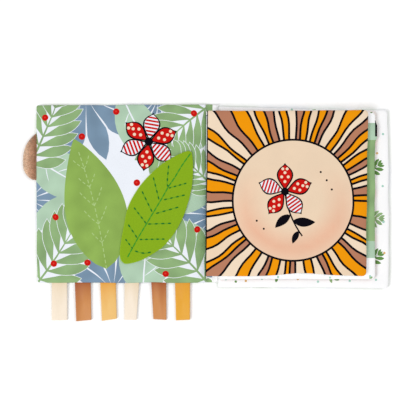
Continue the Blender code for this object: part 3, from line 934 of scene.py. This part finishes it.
# Ribbon loops
# Six lengths of 16 mm satin ribbon, each folded in two with its ends in the near seam. The sizes
# are each loop's sides at the seam and at its folded end, and how far those sides reach.
RIBBON_THICKNESS, RIB_PITCH = 0.3, 0.55
RIBBON_COLUMNS, RIBBON_ROWS, FOLD_STEPS = 14, 22, 6
SEAM_HEIGHT, SEAM_ALLOWANCE, SEAM_HALF = 2.5, 0.9, 0.25
FOLD_HEIGHT, FOLD_HALF, RIBBON_FLOOR = 1.35, 0.8, 0.3
SELVEDGE, SELVEDGE_START = 0.07, 0.93


def satin(name, shaded_hex, hex_text):
    """Woven satin with mottled floats and fine ribs. A mesh attribute mixes painted shade, the shaded colour
    near the seam, with painted sheen, the lit colour farther out.
    """
    finish, tree, shader, place = new_finish(name)
    stretched = add_node(tree, "Mapping", {"Vector": place, "Scale": (4200, 260, 260)})
    floats = add_node(tree, "TexNoise", {"Vector": stretched, "Scale": 1.0, "Detail": 2.0})
    ribs = add_node(tree, "TexWave", {"Vector": place, "Scale": wave_scale(RIB_PITCH)}, bands_direction="Y")
    shade = add_node(tree, "MapRange", {"Value": floats, "To Min": 0.93, "To Max": 1.05})
    # This attribute is painted sheen and painted shade, running from the shaded colour to the lit colour.
    painted_sheen = add_node(tree, "Attribute", attribute_name="painted_sheen").outputs["Fac"]
    colour = add_node(tree, "Mix", {0: painted_sheen, 6: linear_colour(shaded_hex), 7: linear_colour(hex_text)},
                      data_type="RGBA")
    worn = add_node(tree, "VectorMath", {0: colour.outputs[2], "Scale": shade}, operation="SCALE")
    relief = add_node(tree, "Math", {0: floats, 1: ribs.outputs["Fac"]}, operation="ADD")
    bump = add_node(tree, "Bump", {"Height": relief, "Strength": 0.25, "Distance": 0.05 * MM})
    set_inputs(tree, shader, {"Base Color": worn, "Normal": bump, "Roughness": 0.42,
                              "Specular IOR Level": 0.4, "Anisotropic": 0.5})
    return finish


def ribbon_loop(number, sides, reaches, finish):
    """A folded ribbon: a grid whose rows run out along the top, round the fold and back below."""
    rng = random.Random(number)
    near_left, near_right, far_left, far_right = sides
    seam_y = front_cover.corners[0].y + SEAM_ALLOWANCE
    curl, wave, phase = rng.uniform(-0.35, 0.25), rng.uniform(0.15, 0.3), rng.uniform(0, math.tau)
    sheen_streaks = [(rng.uniform(2, 9), rng.uniform(0, math.tau)) for _ in range(3)]
    stations = [(row / RIBBON_ROWS, math.pi / 2) for row in range(RIBBON_ROWS)]
    stations += [(1.0, math.pi * (0.5 - step / FOLD_STEPS)) for step in range(FOLD_STEPS + 1)]
    stations += [(1 - (row + 1) / RIBBON_ROWS, -math.pi / 2) for row in range(RIBBON_ROWS)]
    shape = bmesh.new()
    bmesh.ops.create_grid(shape, x_segments=RIBBON_COLUMNS, y_segments=len(stations) - 1, size=0.5)
    painted_sheen = shape.verts.layers.float.new("painted_sheen")
    for vert in shape.verts:
        across = vert.co.x + 0.5
        along, angle = stations[round((vert.co.y + 0.5) * (len(stations) - 1))]
        left = near_left + (far_left - near_left) * along
        right = near_right + (far_right - near_right) * along
        reach = reaches[0] + (reaches[1] - reaches[0]) * across - FOLD_HALF
        ease = math.sin(along * math.pi / 2)
        half = SEAM_HALF + (FOLD_HALF - SEAM_HALF) * ease
        middle = SEAM_HEIGHT + (FOLD_HEIGHT - SEAM_HEIGHT) * ease
        ripple = math.sin(3.4 * along + 2.2 * across + phase)
        bend = curl * ease * (2 * across - 1) ** 2 + wave * ease * ripple
        selvedge = SELVEDGE * (abs(2 * across - 1) > SELVEDGE_START)
        height = middle + half * math.sin(angle) * (1 + selvedge) + bend * (0.6 + 0.4 * math.sin(angle))
        out = along * reach + FOLD_HALF * math.cos(angle) * (along == 1.0)
        vert.co = Vector((left + (right - left) * across, seam_y - out, max(height, RIBBON_FLOOR))) * MM
        # Painted sheen and shade: darkest at the seam, paler out towards the fold, with painted streaks of
        # sheen across the ribbon.
        sheen_streak = sum(math.sin(rate * across + turn) for rate, turn in sheen_streaks) / 9
        painted_sheen_share = 0.12 + 1.5 * along ** 0.8 * (1 - 0.35 * along) + sheen_streak * (0.4 + 0.6 * along)
        vert[painted_sheen] = min(1, max(0, painted_sheen_share))
    bmesh.ops.recalc_face_normals(shape, faces=shape.faces[:])
    loop = new_piece(f"satin_ribbon_loop_{number}", shape, finish)
    thicken(loop, "ribbon_thickness", RIBBON_THICKNESS, 0)
    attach(loop, "front_cover")
    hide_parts(f"ribbon_loop_{number}")


# Each satin's first colour is painted shade by the seam, and its second colour is painted sheen farther out.
cream_satin = satin("cream_satin_ribbon", "E2CDAC", "F5E6D2")
caramel_satin = satin("caramel_satin_ribbon", "96400C", "CC8A50")
mustard_satin = satin("mustard_satin_ribbon", "DE9212", "ECBD70")
deep_satin = satin("deep_mustard_satin_ribbon", "DB9422", "E6A632")
for number, (sides, reaches, finish, slot) in enumerate((
    ((-160.6, -145.1, -160.6, -144.9), (38.5, 38.2), cream_satin, "satin_cream"),
    ((-137.4, -121.5, -136.1, -120.9), (39.4, 38.0), caramel_satin, "satin_caramel"),
    ((-112.0, -96.3, -110.4, -95.4), (39.0, 36.8), mustard_satin, "satin_mustard"),
    ((-87.6, -72.9, -87.8, -75.5), (37.8, 38.0), cream_satin, "satin_cream"),
    ((-60.9, -45.8, -58.8, -45.6), (37.2, 38.0), caramel_satin, "satin_caramel"),
    ((-37.1, -21.9, -36.1, -22.1), (38.5, 37.8), deep_satin, "satin_mustard"),
), start=1):
    ribbon_loop(number, sides, reaches, finish)

# Plush ear
# Two short-pile plush pieces over stuffing, sewn into the free edge. The pile is thousands of
# tiny tapered strands that lean outwards, dense enough to hide the backing.
EAR_STRANDS, PILE_LENGTH, STRAND_WIDTH, STRAND_LEAN, STRAND_SCATTER = 9000, 1.2, 0.11, 0.75, 0.28
EAR_RISE, EAR_DEPTH, EAR_TAPER, EAR_RADIUS, PILE_FLOOR = 3.0, 1.2, 4.5, 9, 0.45
STUFFING_INSET = 0.7
EAR_EDGE = ((-176.0, 59.6), (-178.4, 57.6), (-182.0, 53.6), (-185.2, 49.0), (-187.2, 44.2), (-188.3, 39.0),
            (-188.8, 33.1), (-188.7, 28.5), (-188.0, 23.8), (-186.0, 19.6), (-182.9, 16.2), (-179.6, 14.2),
            (-176.0, 13.6))
EAR_MIDDLE = Vector((-175.4, 34.5))
EAR_SHARES = ((0.0, 0.0), (0.02, 0.28), (0.06, 0.48), (0.13, 0.66), (0.24, 0.82), (0.38, 0.93), (0.56, 0.985),
              (0.78, 1.0), (1.0, 1.0))


def plush(name, hex_text, tip_and_lit_hex):
    """Plush whose strands are paler at their tips, with soft patches where the pile lies over. The tip
    attribute also carries painted light: paler towards the rim, and darker near the seam as painted shade.
    """
    finish, tree, shader, place = new_finish(name)
    tip = add_node(tree, "Attribute", attribute_name="tip").outputs["Fac"]
    colour = add_node(tree, "Mix", {0: tip, 6: linear_colour(hex_text), 7: linear_colour(tip_and_lit_hex)},
                      data_type="RGBA")
    patch = add_node(tree, "TexNoise", {"Vector": place, "Scale": 420.0, "Detail": 2.0})
    shade = add_node(tree, "MapRange", {"Value": patch, "From Min": 0.3, "From Max": 0.7, "To Min": 0.82,
                                        "To Max": 1.18})
    worn = add_node(tree, "VectorMath", {0: colour.outputs[2], "Scale": shade}, operation="SCALE")
    set_inputs(tree, shader, {"Base Color": worn, "Roughness": 0.9, "Specular IOR Level": 0.15,
                              "Sheen Weight": 0.25})
    return finish


def plain_finish(name, hex_text, roughness, scale, low_shade, high_shade, bump_height, sheen=0.0):
    """A fibrous finish of one colour, or of the printed inks. Noise at a scale per metre mottles it."""
    finish, tree, shader, place = new_finish(name)
    fibre = add_node(tree, "TexNoise", {"Vector": place, "Scale": scale, "Detail": 5.0, "Roughness": 0.7})
    shade = add_node(tree, "MapRange", {"Value": fibre, "From Min": 0.3, "From Max": 0.7, "To Min": low_shade,
                                        "To Max": high_shade})
    colour = add_node(tree, "Attribute", attribute_name=INK).outputs["Color"]
    if hex_text:
        colour = add_node(tree, "RGB").outputs[0]
        colour.default_value = linear_colour(hex_text)
    worn = add_node(tree, "VectorMath", {0: colour, "Scale": shade}, operation="SCALE")
    bump = add_node(tree, "Bump", {"Height": fibre, "Strength": 0.5, "Distance": bump_height * MM})
    set_inputs(tree, shader, {"Base Color": worn, "Normal": bump, "Roughness": roughness,
                              "Specular IOR Level": 0.2, "Sheen Weight": sheen})
    return finish


def ear_dome(outline, side, inset):
    """Rings of points over one side of the ear, drawn in and lowered by the inset."""
    points = []
    tall = (EAR_RISE if side > 0 else EAR_DEPTH) - inset
    for share, rise in EAR_SHARES:
        for edge in outline:
            start = edge.lerp(EAR_MIDDLE, inset / EAR_RADIUS)
            place = start.lerp(EAR_MIDDLE, share * 0.97)
            dent = 1 - 0.07 * (1 + math.sin(0.55 * place.y)) * math.sin(math.pi * share)
            taper = math.sin(math.pi / 2 * min(1, max(0, EAR_MIDDLE.x - place.x) / EAR_TAPER))
            points.append((place.x, place.y, SEAM_HEIGHT + side * (0.12 + tall * rise * dent * taper)))
    return points


def ear_half(node, side, finish):
    """One plush half of the ear: its dome, and the pile rooted on it, in one mesh."""
    rng = random.Random(40 + side)
    points = ear_dome(ear_edge, side, 0)
    wide = len(ear_edge)
    triangles = []
    for ring in range(len(EAR_SHARES) - 1):
        for at in range(wide - 1):
            a, b = ring * wide + at, (ring + 1) * wide + at
            triangles += [(a, a + 1, b)[::side], (a + 1, b + 1, b)[::side]]
    tip_and_painted_light = [0.0] * len(points)
    spans = np.array(points)[np.array(triangles)[:, ::-1]]
    normals = np.cross(spans[:, 2] - spans[:, 0], spans[:, 1] - spans[:, 0])
    sizes = np.linalg.norm(normals, axis=1)
    count = EAR_STRANDS if side > 0 else EAR_STRANDS // 2
    for which in rng.choices(range(len(triangles)), weights=sizes.tolist(), k=count):
        u, v = rng.random(), rng.random()
        if u + v > 1:
            u, v = 1 - u, 1 - v
        a, b, c = [Vector(corner) for corner in spans[which]]
        root = a + (b - a) * u + (c - a) * v
        normal = Vector(normals[which]) / max(sizes[which], 1e-9)
        lean = Vector((root.x - EAR_MIDDLE.x, (root.y - EAR_MIDDLE.y) * 0.35 - 4, 0)).normalized()
        scatter = Vector([rng.gauss(0, STRAND_SCATTER) for _ in range(3)])
        way = (normal + lean * STRAND_LEAN + scatter).normalized()
        size = PILE_LENGTH * rng.uniform(0.7, 1.1)
        across = way.orthogonal().normalized() * STRAND_WIDTH
        turn = Matrix.Rotation(math.tau / 3, 3, way)
        first = len(points)
        for _ in range(3):
            points.append(tuple(root + across))
            across = turn @ across
        end = root + way * size
        points.append((end.x, end.y, max(end.z, PILE_FLOOR)))
        # Painted light and shade: strands farther from the seam are paler, and those by the seam are darker
        # as painted shade. Tips are paler still.
        painted_rim_light = min(1.0, max(0.0, EAR_MIDDLE.x - root.x - 1.0) / EAR_RADIUS) ** 1.6
        tip_and_painted_light += [0.05 + 0.75 * painted_rim_light] * 3 + [rng.uniform(0.75, 1.0) * (0.3 + 0.7 * painted_rim_light)]
        triangles += [(first + at, first + (at + 1) % 3, first + 3) for at in range(3)]
    half = cloth_piece(f"plush_{node}", points, triangles, finish)
    half.data.attributes.new("tip", "FLOAT", "POINT").data.foreach_set("value", tip_and_painted_light)
    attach(half, "front_cover")
    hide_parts(node)


ear_edge = smooth_line(EAR_EDGE, False)
# BF8B69 is the root and painted-shade colour, and FFE4C8 is the tip and painted-light colour.
short_pile = plush("beige_short_pile_plush", "BF8B69", "FFE4C8")
ear_half("ear_front_plush", 1, short_pile)
ear_half("ear_back_plush", -1, short_pile)
wadding = plain_finish("polyester_wadding", "F4F3EF", 0.95, 900.0, 0.9, 1.03, 0.3, 0.2)
wide = len(ear_edge)
rings = []
for side in (1, -1):
    dome = ear_dome(ear_edge, side, STUFFING_INSET)
    rings += [dome[at:at + wide] for at in range(0, len(dome), wide)][::-side]
shape = bmesh.new()
loops = [[shape.verts.new(Vector(point) * MM) for point in ring] for ring in rings]
for lower, upper in zip(loops, loops[1:]):
    for at in range(wide):
        shape.faces.new((lower[at - 1], lower[at], upper[at], upper[at - 1]))
shape.faces.new(loops[0][::-1])
shape.faces.new(loops[-1])
bmesh.ops.recalc_face_normals(shape, faces=shape.faces[:])
stuffing = new_piece("ear_polyester_stuffing", shape, wadding, smooth=False)
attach(stuffing, "front_cover")
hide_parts("ear_stuffing")

# Felt leaf
# A leaf cut from 1.5 mm felt and sewn down at its round end. Its veins are running stitches in
# darker green thread, each along a darker band of painted shade where a furrow would lie. Its cut
# edge is painted paler, a painted highlight.
FELT_TOP, FELT_THICKNESS, FELT_GRID, THREAD_RISE = 6.5, 1.35, 3.5, 0.26
FELT_INSETS, FELT_RIM, FELT_DROP = (0.12, 0.4, 0.9, 1.8, 3.2), 0.9, 0.42
FELT_EDGE = ((-23.5, 42.2), (-20.3, 40.6), (-19.0, 30.7), (-19.1, 18.0), (-20.4, 4.8), (-24.0, -9.8),
             (-29.5, -25.2), (-37.6, -39.7), (-48.2, -52.7), (-59.5, -60.8), (-71.6, -67.3), (-83.8, -70.5),
             (-88.9, -69.4), (-92.0, -64.1), (-91.6, -51.9), (-88.0, -31.7), (-84.6, -15.5), (-78.1, -1.7),
             (-67.6, 12.9), (-51.4, 28.3), (-36.8, 37.2), (-27.1, 41.7))
MIDRIB = ((-84.6, -64.1), (-74.9, -46.2), (-65.2, -30.0), (-57.9, -17.9), (-48.2, -1.7), (-43.3, 7.2),
          (-37.6, 15.3), (-30.3, 27.5), (-21.4, 40.0))
VEINS = (
    ((-25.5, 10.1), (-43.3, 5.2)), ((-27.1, -1.7), (-48.2, -6.5)), ((-33.6, -13.8), (-56.3, -20.3)),
    ((-40.9, -30.0), (-64.4, -30.8)), ((-47.4, -45.8), (-72.4, -46.2)),
    ((-61.1, -58.8), (-68.4, -60.0), (-77.3, -57.6)), ((-43.3, 27.9), (-44.9, 9.7), (-43.5, 6.0)),
    ((-58.7, 16.1), (-53.0, -6.5)), ((-70.0, 2.0), (-59.9, -18.7)), ((-78.1, -14.2), (-66.0, -30.0)),
    ((-83.8, -31.2), (-74.9, -44.6)), ((-86.6, -45.8), (-79.3, -55.5)),
)


def line_length(line):
    """The length of a broken line."""
    return sum((b - a).length for a, b in zip(line, line[1:]))


def along_line(line, reach):
    """The point at a distance along a broken line."""
    for a, b in zip(line, line[1:]):
        span = (b - a).length
        if reach <= span:
            return a.lerp(b, reach / span)
        reach -= span
    return line[-1]


def felt_top(x, y):
    """Height of the felt's upper face, which lies a little unevenly on the page."""
    wave = 0.1 * math.sin(0.075 * x + 1.0) * math.sin(0.062 * y - 0.4)
    return FELT_TOP + wave + 0.04 * math.sin(0.21 * x - 0.17 * y)


def stitches(name, lines, stitch, gap, half_width, finish):
    """Running stitches along flat lines: each is a thread that swells between its two holes."""
    shape = bmesh.new()
    for line in lines:
        length = line_length(line)
        count = max(1, round((length + gap) / (stitch + gap)))
        pitch = (length + gap) / count
        for number in range(count):
            start = along_line(line, number * pitch)
            run = along_line(line, number * pitch + stitch * pitch / (stitch + gap)) - start
            middle = start + run / 2
            place = Matrix.Translation(Vector((*middle, felt_top(*middle))) * MM)
            turn = Matrix.Rotation(math.atan2(run.y, run.x), 4, "Z")
            size = Matrix.Diagonal((run.length / 2, half_width, THREAD_RISE, 1))
            bmesh.ops.create_uvsphere(shape, u_segments=12, v_segments=8, radius=MM,
                                      matrix=place @ turn @ size)
    return new_piece(name, shape, finish)


felt_outline = [tuple(p) for p in smooth_line(FELT_EDGE, True)]
felt_rings = [felt_outline]
for inset in FELT_INSETS:
    ring = []
    for at, place in enumerate(felt_outline):
        run = Vector(felt_outline[(at + 1) % len(felt_outline)]) - Vector(felt_outline[at - 1])
        ring.append(tuple(Vector(place) - run.orthogonal().normalized() * inset))
    felt_rings.append(ring)
vein_lines = [smooth_line(vein, False) for vein in (MIDRIB, *VEINS)]
# The inner ring takes the felt's own green, and the darker bands along the veins are painted shade standing
# in for furrows.
felt_colour_and_furrow_shade = [("84AA14", felt_rings[2])] + [("6BA01C", line_band(line, 1.3)) for line in vein_lines]
edge_points = np.array(felt_outline)
spots = np.array([(x, y) for x in np.arange(-92, -18, FELT_GRID) for y in np.arange(-71, 43, FELT_GRID)])
far = np.array([np.hypot(*(edge_points - spot).T).min() for spot in spots])
flat, triangles, tops = cut_cloth(felt_rings, spots[inside(edge_points, spots) & (far > 4)], felt_colour_and_furrow_shade)
places = []
for x, y in flat:
    rim = np.hypot(*(edge_points - (x, y)).T).min()
    places.append((x, y, felt_top(x, y) - FELT_DROP * (1 - min(rim / FELT_RIM, 1)) ** 2))
wool = plain_finish("green_wool_felt", "", 0.95, 1100.0, 0.86, 1.1, 0.2, 0.1)
felt = cloth_piece("green_felt_leaf", places, triangles, wool)
# The outer rim of the felt is painted paler than its body, a painted highlight on the cut edge.
ink_mesh(felt.data, triangles, tops, ["98BC10"] + [ink for ink, _ in felt_colour_and_furrow_shade], flat)
thicken(felt, "felt_thickness", FELT_THICKNESS)
thread = plain_finish("green_embroidery_thread", "2F9422", 0.6, 2500.0, 0.85, 1.1, 0.05)
dark_thread = plain_finish("dark_green_embroidery_thread", "0F701E", 0.6, 2500.0, 0.85, 1.1, 0.05)
midrib = stitches("felt_midrib_stitches", vein_lines[:1], 5.6, 0.3, 0.68, thread)
veins = stitches("felt_vein_stitches", vein_lines[1:], 3.1, 2.8, 0.78, dark_thread)
for piece in (felt, midrib, veins):
    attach(piece, "felt_leaf")
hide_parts("felt_leaf_flap")

# Inside the pages
# The wadding and crinkle film stay hidden in the closed pages, in their own finishes.
film = plain_finish("crinkle_film", "DDE3E6", 0.25, 700.0, 0.92, 1.05, 0.2)
for page in PAGES:
    for part, finish in (("wadding", wadding), ("crinkle_film", film)):
        hidden = bpy.data.objects[f"{page.body}_{part}"]
        hidden.data.materials.clear()
        hidden.data.materials.append(finish)
